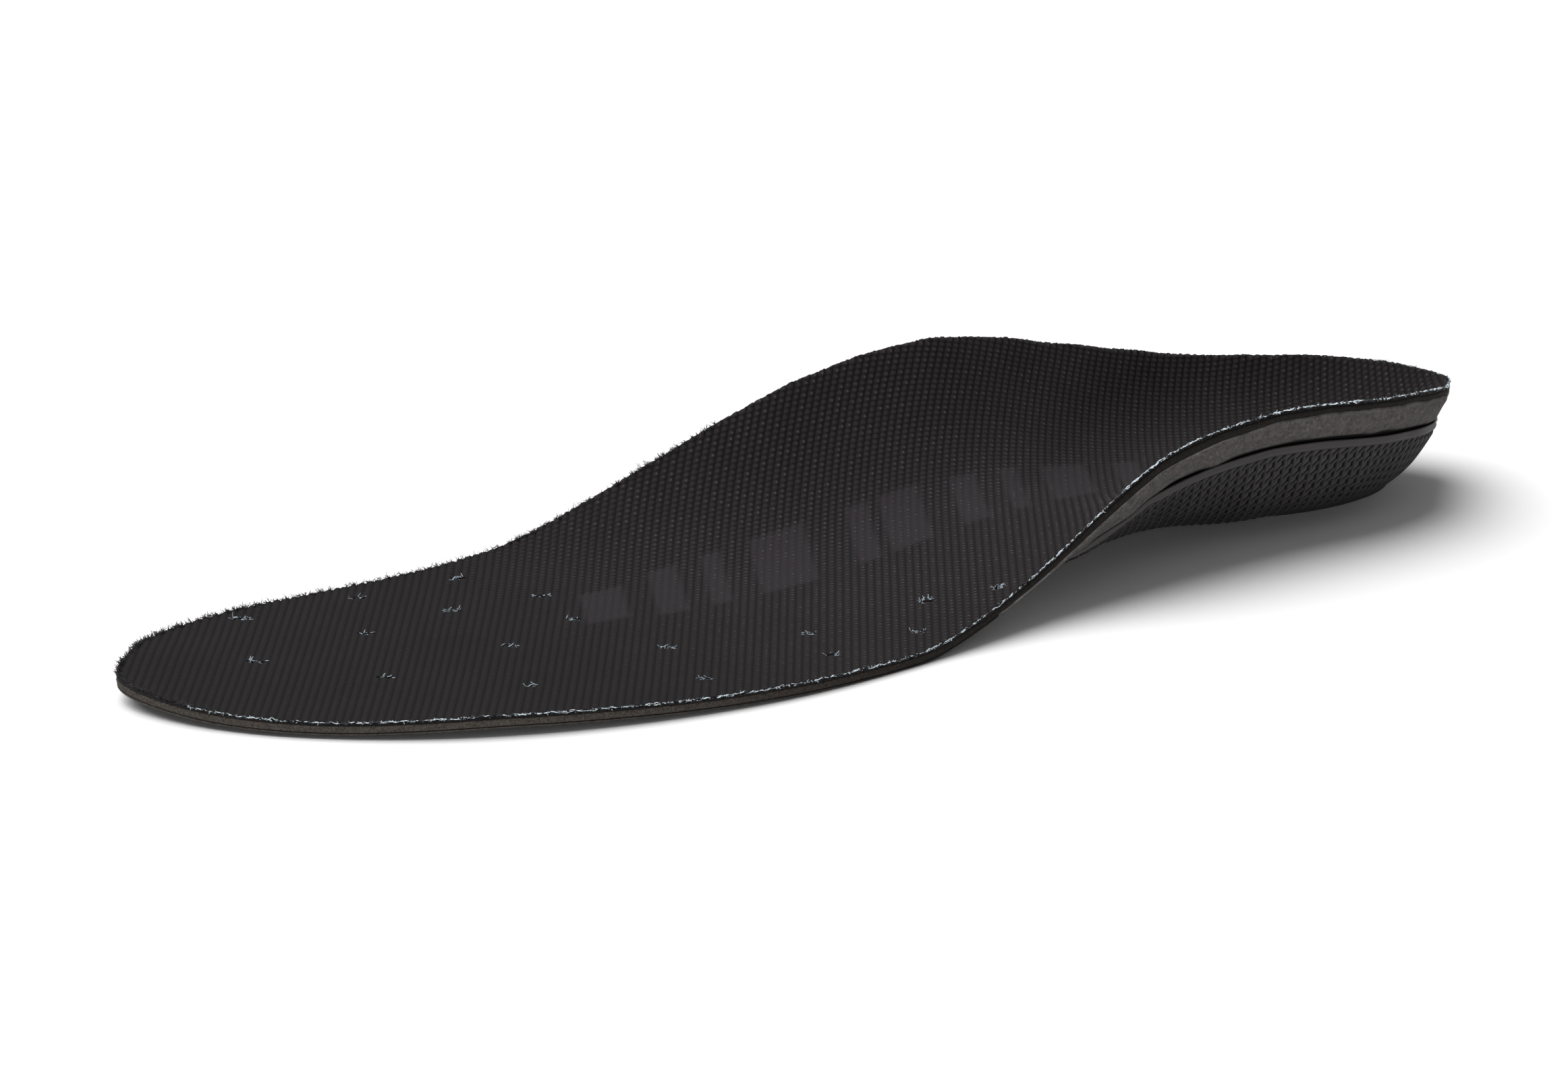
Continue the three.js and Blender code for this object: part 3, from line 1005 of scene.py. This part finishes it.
def level(line):
    """The lip moved in or out a little, so that its height runs smoothly around the steep wall."""
    way = unit(line - SHELL_MIDDLE)
    wanted = softened(shell_low(line[:, 0], line[:, 1])[:, None], 400)[:, 0]
    for _ in range(4):
        here = shell_low(line[:, 0], line[:, 1])
        slope = (shell_low(*(line + 0.2 * way).T) - here) / 0.2
        move = np.clip((wanted - here) / np.maximum(slope, 0.8), -0.3, 0.3)
        line = line + way * (move * smooth_step(0.5, 1.0, slope))[:, None]
    return line


lip_line = shell_edge()


def depth_in_shell(x, y):
    """How far inside the shell's edge a place of the plan lies; negative outside."""
    x, y = x - SHELL_MIDDLE[0], y - SHELL_MIDDLE[1]
    edge_x, edge_y = (lip_line - SHELL_MIDDLE).T
    turn = np.arctan2(edge_y, edge_x)
    return np.interp(np.arctan2(y, x), turn, np.hypot(edge_x, edge_y), period=2 * math.pi) - np.hypot(x, y)


def wedge_underside():
    """The field of the wedge's bare underside, without its pocket for the shell."""
    corners, normals = faces_of(["support_wedge"], -1)
    bare = depth_in_shell(corners[..., 0], corners[..., 1]).max(axis=1) <= 0.35
    return smooth_field(corners[bare], normals[bare])


wedge_low = wedge_underside()


def support_wedge():
    line = cut_line(False, 0.0)
    spine = spine_for(line, low_x + HEEL_ROUND, 8.0)
    shares = np.concatenate([np.linspace(0, 0.36, 31), np.linspace(0.4, 1, 10)])

    def low(x, y, share):
        roof = under_foam(x, y) - THINNEST
        pocket = np.minimum(shell_high(x, y) + POCKET_GAP, roof)
        plain = np.minimum(wedge_low(x, y), roof)
        return plain + smooth_step(*POCKET, depth_in_shell(x, y)) * (pocket - plain)

    points, faces = slab(line, spine, shares, under_foam, low, plain_side(3, 0.05, 0.06))
    made = make_piece("ground_wedge", points, faces, wedge_material(), "rear")
    x, y, z = points.T
    # Where the painted highlight along the wedge's top edge lies.
    give(made, "edge_highlight", smooth_step(0.45, 0.1, under_foam(x, y) - z))
    give(made, "seam", smooth_step(0.1, 0.3, depth_in_shell(x, y)))
    return made


SHELL_SHARES = np.concatenate([np.linspace(0, 0.7, 90) ** 1.15, np.linspace(0.72, 1, 12)])
shell_spine = spine_for(lip_line, low_x + HEEL_ROUND, -40.0)

# The bead along the shell's lip: how deep it reaches, and how far it stands out.
BEAD_DEPTH = 0.4
BEAD_HEIGHT = 0.2

# The net: where it starts and ends below the lip, its front end along the foot, its distance from
# the ring, how high it stands out, and the pitch of its upright lines along and its cells down.
NET_TOP = 0.8
NET_DEPTH = 23.0
NET_FRONT = -1.5
NET_GAP = 1.6
NET_HEIGHT = 0.38
VERTICAL_PITCH = 2.2
SLANT_PITCH = 2.3


def shell_surface():
    """The shell's outer surface as rings from its edge inwards, and how deep each ring lies."""
    rings = np.array(skin(lip_line, shell_spine, SHELL_SHARES, lambda x, y, share: shell_low(x, y)))
    steps = np.linalg.norm(np.diff(rings, axis=0), axis=2)
    depth = np.vstack([np.zeros(len(lip_line)), np.cumsum(steps, axis=0)])
    normal = shell_low.normal(rings[..., 0], rings[..., 1])
    return rings, depth, -normal


RING_MIDDLE, RING_OUTER = box_of("heel_base_ring")
PAD_HALF = box_of("heel_crash_pad")[1]
PAD_GAP = 0.3


def beyond_ring(points, grow):
    x = (points[:, 0] - RING_MIDDLE[0]) / (RING_OUTER[0] + grow)
    y = (points[:, 1] - RING_MIDDLE[1]) / (RING_OUTER[1] + grow)
    return x * x + y * y > 1


def shell_top(x, y):
    """The shell's inner surface: a lip that almost closes the seam, thicker in the wedge's pocket."""
    low = shell_low(x, y)
    lip = np.clip(0.9 * (wedge_low(x, y) - low), 0.3, 1.2)
    full = np.maximum(shell_high(x, y) - low, 0.6)
    return low + lip + (full - lip) * smooth_step(*POCKET, depth_in_shell(x, y))


def cup_shell(surface):
    """The shell with its raised lip; a fine dark line of painted shade runs below the lip."""
    rings, depth, normal = surface
    bead = BEAD_HEIGHT * smooth_step(BEAD_DEPTH + 0.2, BEAD_DEPTH - 0.2, depth)
    outer = rings + normal * bead[..., None]
    # Painted shade: a fine dark line below the lip's bead.
    painted_shade = 0.8 * smooth_step(0.3, 0.0, np.abs(depth - BEAD_DEPTH - 0.3))
    outer = np.concatenate([outer, painted_shade[..., None]], axis=2)
    inner = skin(lip_line, shell_spine, SHELL_SHARES, lambda x, y, share: shell_top(x, y))
    inner = [np.column_stack([ring, np.zeros(len(ring))]) for ring in inner]
    side = [inner[0] + (outer[0] - inner[0]) * t for t in (0.25, 0.5, 0.75)]
    loops = inner[::-1] + side + list(outer)
    points, faces = welded(np.vstack(loops), ring_faces(len(loops), len(lip_line), flip=True))
    made = make_piece("moulded_shell", points[:, :3], faces, shell_material(), "rear")
    give(made, "painted_shade", points[:, 3])
    return made


def tube(sides):
    """A closed tube whose sides run along these lines of points."""
    count, length = len(sides), len(sides[0])
    points = np.stack(sides, axis=1).reshape(-1, 3)
    ends = [list(range(count))[::-1], list(range((length - 1) * count, length * count))]
    return points, ring_faces(length, count) + ends


# The cross-section of one line of the net: its share of the width, and of the height.
BEAD_SECTION = ((0.5, -0.12), (0.0, 1.0), (-0.3, 1.0), (-0.5, -0.12))
# Painted shade at each corner of the section: dark flanks and a lighter top.
BEAD_SHADE = [1, 0.7, 0, 0.5]


def bead_tube(path, normal, width, height):
    """A raised bead along a path on a surface, lower at both ends."""
    side = unit(np.cross(unit(np.gradient(path, axis=0)), normal))
    taper = np.ones((len(path), 1))
    taper[[0, -1]] = 0.3
    return tube([path + side * (wide * width) + normal * (up * height * taper) for wide, up in BEAD_SECTION])


def joined(parts):
    """Several sets of points and faces as one."""
    points, faces, start = [], [], 0
    for some_points, some_faces in parts:
        points.append(some_points)
        faces.extend([[start + k for k in face] for face in some_faces])
        start += len(some_points)
    return np.vstack(points), faces


class Skin:
    """Places on the shell's outer surface by length along its edge and depth below it."""

    step = 0.25

    def __init__(self, surface):
        rings, depth, normal = surface
        ring = np.vstack([lip_line, lip_line[:1]])
        edge = np.column_stack([ring, np.append(rings[0, :, 2], rings[0, 0, 2])])
        self.run = running(edge)
        steps = np.arange(0, 40, self.step)
        table = np.concatenate([rings, normal], axis=2)
        rows = []
        for k in range(len(lip_line)):
            rows.append([np.interp(steps, depth[:, k], table[:, k, n]) for n in range(6)])
        self.table = np.array(rows + rows[:1]).transpose(0, 2, 1)

    def at(self, along, deep):
        row = np.interp(np.mod(along, self.run[-1]), self.run, np.arange(len(self.run)))
        found = between(self.table, row, deep / self.step)
        return found[:, :3], unit(found[:, 3:])


def net_line(skin_map, along_of):
    """One line of the net from under the lip's bead down to where the base begins."""
    deep = np.arange(NET_TOP, NET_DEPTH, 0.7)
    path, normal = skin_map.at(along_of(deep), deep)
    clear = beyond_ring(path, NET_GAP) & (path[:, 0] < NET_FRONT)
    clear[1:] &= np.linalg.norm(np.diff(path, axis=0), axis=1) > 0.2
    stop = len(clear) if clear.all() else int(np.argmin(clear))
    return path[:stop], normal[:stop]


def shell_net(surface):
    """The fine raised net on the shell: upright lines and lines that slant across them."""
    skin_map = Skin(surface)
    whole = skin_map.run[-1]
    count = int(round(whole / VERTICAL_PITCH))
    pitch = whole / count
    parts = []
    for k in range(count):
        path, normal = net_line(skin_map, lambda deep: np.full_like(deep, k * pitch))
        if len(path) > 3:
            parts.append(bead_tube(path, normal, 1.0, NET_HEIGHT))
        path, normal = net_line(skin_map, lambda deep: k * pitch - (deep - NET_TOP) * pitch / SLANT_PITCH)
        if len(path) > 3:
            parts.append(bead_tube(path, normal, 0.85, 0.8 * NET_HEIGHT))
    points, faces = joined(parts)
    made = make_piece("shell_net", points, faces, shell_material(), "rear")
    # Painted shade on the flanks of the net's lines.
    give(made, "painted_shade", np.tile(BEAD_SHADE, len(points) // 4))
    return made


def base_ring():
    """A smooth ring that the heel stands on, rounded at both lower edges."""
    inner = PAD_HALF[:2] + PAD_GAP
    wide = RING_OUTER[:2] - inner
    profile = [(0, 1), (0, 0.5), (0.04, 0.2), (0.14, 0), (0.86, 0), (0.96, 0.2), (1, 0.5), (1, 1)]
    loops = []
    for across, up in profile:
        line = ellipse_line(RING_MIDDLE, inner + across * wide)
        ceiling = shell_low(line[:, 0], line[:, 1]) - 0.02
        loops.append(np.column_stack([line, np.maximum(0.02, ceiling * up)]))
    loops.append(loops[0])
    points, faces = welded(np.vstack(loops), ring_faces(len(loops), 160))
    return make_piece("rubber_ring", points, faces, ring_material(), "rear")


def crash_pad():
    """The soft pad in the ring: a shallow dome below with two pressed grooves."""
    line = ellipse_line(RING_MIDDLE, PAD_HALF)
    focus = PAD_HALF[0] - PAD_HALF[1]
    spine_x = np.clip(line[:, 0], RING_MIDDLE[0] - focus, RING_MIDDLE[0] + focus)
    spine = np.column_stack([spine_x, np.full(len(line), RING_MIDDLE[1])])
    shares = np.concatenate([np.linspace(0, 0.3, 10), np.linspace(0.34, 1, 30)])

    def high(x, y, share):
        return np.minimum(shell_low(x, y) + 2.2, foam_low(x, y) - 0.3)

    def low(x, y, share):
        edge = 0.5 * (1 - smooth_step(0, 0.12, share))
        grooves = sum(np.exp(-(((share - middle) / 0.035) ** 2)) for middle in (0.35, 0.62))
        return np.full_like(x, 0.42) + edge + 0.35 * grooves

    points, faces = slab(line, spine, shares, high, low, plain_side(3, 0.0))
    return make_piece("red_pad", points, faces, pad_material(), "rear")


# ------ cut yarn ends

UP = np.array([0.0, 0.0, 1.0])


def strand(path, radius, sides=4):
    """A thin closed tube along a path."""
    run = unit(np.gradient(path, axis=0))
    side = unit(np.cross(run, (0.31, 0.17, 0.93)))
    other = np.cross(run, side)
    radius = np.broadcast_to(radius, len(path))[:, None]
    round_it = 2 * math.pi * np.arange(sides) / sides
    return tube([path + radius * (math.cos(a) * side + math.sin(a) * other) for a in round_it])


def yarn_end(start, way, reach, bend, radii):
    """A short cut yarn end that sets off one way and bends."""
    way = unit(way)
    path = np.array([start + way * reach * t + bend * t * t for t in (0, 0.35, 0.7, 1)])
    return strand(path, np.array(radii), 3)


def wander(count, spread, hold):
    """A seeded wavy line of numbers that stays near zero."""
    steps = rng.normal(0, 1, count + 40)
    kernel = np.hanning(hold + 2)[1:-1]
    wave = np.convolve(steps, kernel / np.sqrt((kernel**2).sum()), mode="same")[20 : 20 + count]
    return spread * wave


def rim_path(start, end, step=0.32):
    """Places along the upper rim between two values of its parameter, with their outward vectors."""
    count = max(8, int(abs(end - start) / STATIONS * 640 / step))
    t = np.linspace(start, end, count)
    line = rim(t)
    run = rim(t + 0.02) - rim(t - 0.02)
    return line, unit(np.column_stack([run[:, 1], -run[:, 0], np.zeros(count)]))


# Where along the rim the pale yarn shows: from beside the toe, along the outer side, round the heel.
FRAY = (1.6, 28.5)


def edge_fibres():
    """The cover's cut edge: short wavy strands of pale yarn and a few ends that stand out of it."""
    parts = []
    for drop, reach, size, rest in ((0.05, 0.0, 0.08, 0.04), (0.18, 0.03, 0.07, 0.1)):
        at = FRAY[0]
        while at < FRAY[1]:
            length = rng.uniform(0.08, 0.6)
            line, out = rim_path(at, min(at + length, FRAY[1]), 0.24)
            count = len(line)
            path = line + out * (reach + wander(count, 0.06, 3))[:, None]
            path[:, 2] += wander(count, 0.08, 3) - drop
            finer = 0.7 if at < 12 else 1.0
            parts.append(strand(path, size * finer * rng.uniform(0.7, 1.4)))
            at += length + rng.exponential(rest)
    for _ in range(1100):
        line, out = rim_path(*([rng.uniform(*FRAY)] * 2))
        start = line[0] - UP * rng.uniform(-0.05, 0.25)
        run = np.cross(out[0], UP)
        way = out[0] * rng.uniform(0, 0.8) + run * rng.normal(0, 0.8) + UP * rng.normal(0.15, 0.4)
        bend = rng.normal(0, 0.2, 3)
        reach = rng.uniform(0.15, 0.5)
        parts.append(yarn_end(start, way, reach, bend * reach, (0.055, 0.05, 0.045, 0.025)))
    points, faces = joined(parts)
    looks = fibre_material("pale_yarn", (0.74, 0.84, 0.90), (0.05, 0.055, 0.06), 0.43, 0.54)
    return make_piece("edge_fibres", points, faces, looks)


def slit_fibres():
    """Pale yarn ends that the needles have pulled up around each slit."""
    parts = []
    for x, y in SLITS:
        heap = rng.uniform(0.5, 1.2)
        for _ in range(int(16 * heap)):
            along = rng.uniform(-1, 1) * SLIT_HALF[0]
            side = rng.choice([-1, 1]) * SLIT_HALF[1] * rng.uniform(0.8, 1.5)
            px = x + along * row_way[0] + side * rib_way[0]
            py = y + along * row_way[1] + side * rib_way[1]
            start = np.array([px, py, float(top(px, py)) - 0.1])
            way = np.array([*(row_way * rng.normal(0, 1)), 0]) + UP * rng.uniform(0.1, 0.7)
            reach = rng.uniform(0.4, 1.0)
            drop = rng.normal(0, 0.25, 3) - UP * 0.25
            parts.append(yarn_end(start, way, reach, drop, (0.1, 0.09, 0.08, 0.04)))
    points, faces = joined(parts)
    looks = fibre_material("slit_yarn", (0.50, 0.60, 0.68), (0.12, 0.13, 0.15), 0.3, 0.6)
    return make_piece("slit_fibres", points, faces, looks)


def dark_tufts():
    """Dark fuzz along the inner edge of the forefoot and around the toe."""
    parts = []
    for _ in range(700):
        t = rng.uniform(39, 54)
        line, out = rim_path(t, t)
        run = np.cross(out[0], UP)
        start = line[0] - UP * rng.uniform(-0.1, 0.3) - out[0] * rng.uniform(0, 0.6)
        for _ in range(int(rng.integers(2, 6))):
            way = out[0] * rng.uniform(0, 1) + run * rng.normal(0, 0.7) + UP * rng.uniform(0.1, 0.9)
            reach = rng.uniform(0.3, 0.95)
            bend = rng.normal(0, 0.3, 3) * reach
            parts.append(yarn_end(start, way, reach, bend, (0.07, 0.06, 0.05, 0.025)))
    points, faces = joined(parts)
    looks = fibre_material("dark_yarn", (0.035, 0.033, 0.036), (0.006, 0.0055, 0.006), 0.35, 0.65)
    return make_piece("edge_tufts", points, faces, looks)


# ------ stage and camera

# The camera looks at its aim from a turn about Z, a rise and a distance, with a slight roll.
CAMERA_TURN = math.radians(57.52)
CAMERA_RISE = math.radians(17.42)
CAMERA_ROLL = math.radians(-0.29)
CAMERA_FAR = 947.3
CAMERA_AIM = (14.0, 0.5, 13.44)
CAMERA_LENS = 119.44

# Half of the floor's side, and how far below the insole it lies.
FLOOR = 6000.0
FLOOR_GAP = 0.05


def add_camera():
    level = math.cos(CAMERA_RISE)
    back = Vector((level * math.cos(CAMERA_TURN), level * math.sin(CAMERA_TURN), math.sin(CAMERA_RISE)))
    data = bpy.data.cameras.new("camera")
    data.lens = CAMERA_LENS
    data.sensor_width = 36.0
    data.clip_start = 0.01
    data.clip_end = 50.0
    camera = linked("camera", data)
    right = (-back).cross(Vector((0, 0, 1))).normalized()
    up = right.cross(-back)
    turned = Matrix((right, up, back)).transposed() @ Matrix.Rotation(CAMERA_ROLL, 3, "Z")
    place = (Vector(CAMERA_AIM) + back * CAMERA_FAR) * MM
    camera.matrix_world = Matrix.Translation(place) @ turned.to_4x4()
    bpy.context.scene.camera = camera


def add_sun(name, towards, softness, power):
    """A far soft light whose rays come from the given direction."""
    data = bpy.data.lights.new(name, "SUN")
    data.angle = math.radians(softness)
    data.energy = power
    linked(name, data).rotation_euler = Vector(towards).to_track_quat("Z", "Y").to_euler()


def add_stage():
    corners = [(FLOOR * x, FLOOR * y, -FLOOR_GAP) for x, y in ((-1, -1), (1, -1), (1, 1), (-1, 1))]
    floor = make_piece("floor", corners, [[0, 1, 2, 3]], floor_material())
    world = bpy.data.worlds.new("studio")
    world.use_nodes = True
    sky = world.node_tree.nodes["Background"].inputs
    sky["Color"].default_value = (1.0, 1.0, 1.0, 1.0)
    sky["Strength"].default_value = 0.2
    bpy.context.scene.world = world
    add_sun("key", (0.3, -0.4, 1.0), 65.0, 3.5)
    add_sun("fill", (0.4, 0.9, 0.06), 8.0, 1.2)
    bpy.context.scene.view_settings.view_transform = "Standard"


# ------ the whole object

add_camera()
add_stage()


def across_flex(piece):
    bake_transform(piece)
    return piece


cover = across_flex(top_cover())
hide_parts("top_cover_rear", "top_cover_front")

foam = across_flex(comfort_foam())
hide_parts("comfort_foam_rear", "comfort_foam_front")

film = across_flex(forefoot_film())
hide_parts("forefoot_film_rear", "forefoot_film_front")

wedge = support_wedge()
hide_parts("support_wedge")

outer_skin = shell_surface()
shell = cup_shell(outer_skin)
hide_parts("cup_shell")
net = shell_net(outer_skin)

ring = base_ring()
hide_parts("heel_base_ring")

pad = crash_pad()
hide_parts("heel_crash_pad")

fibres = across_flex(edge_fibres())
slit_yarn = across_flex(slit_fibres())
tufts = across_flex(dark_tufts())
